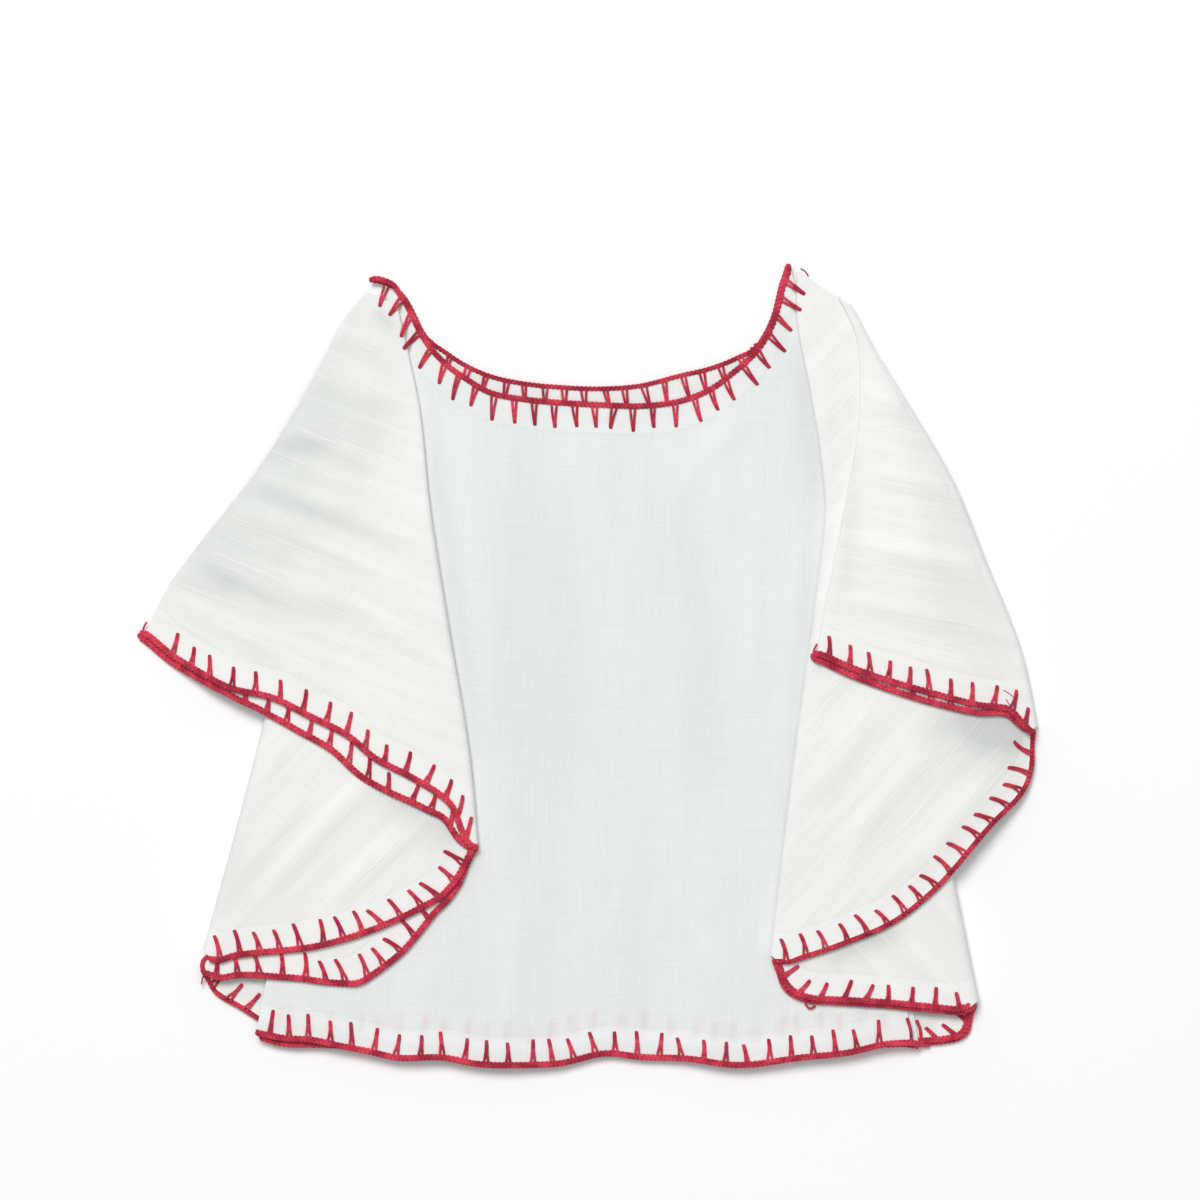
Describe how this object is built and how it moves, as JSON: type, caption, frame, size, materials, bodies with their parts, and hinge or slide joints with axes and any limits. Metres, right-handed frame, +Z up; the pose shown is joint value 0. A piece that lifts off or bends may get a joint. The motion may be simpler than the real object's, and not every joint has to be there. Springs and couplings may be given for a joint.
{
  "type": "blouse",
  "caption": "Small off-white gauze blouse laid flat, with wide folded sleeves and red crocheted edges at the neck, hem and sleeves.",
  "frame": {"origin": "middle of the laid-flat garment's box, on the surface that it lies on", "axes": "+Z up from the surface, out of the front of the blouse; +Y from the hem towards the neck; +X to the right as seen from above"},
  "size_m": [0.3618, 0.3226, 0.0135],
  "materials": {
    "gauze": "slub cotton gauze, matt",
    "crochet": "twisted cotton yarn"
  },
  "bodies": {
    "root": {"body_back": "gauze", "body_front": "gauze", "sleeve_left": "gauze", "sleeve_right": "gauze", "neck_edging": "crochet", "hem_edging_front": "crochet", "hem_edging_back": "crochet", "sleeve_left_edging": "crochet", "sleeve_right_edging": "crochet"}
  },
  "joints": []
}
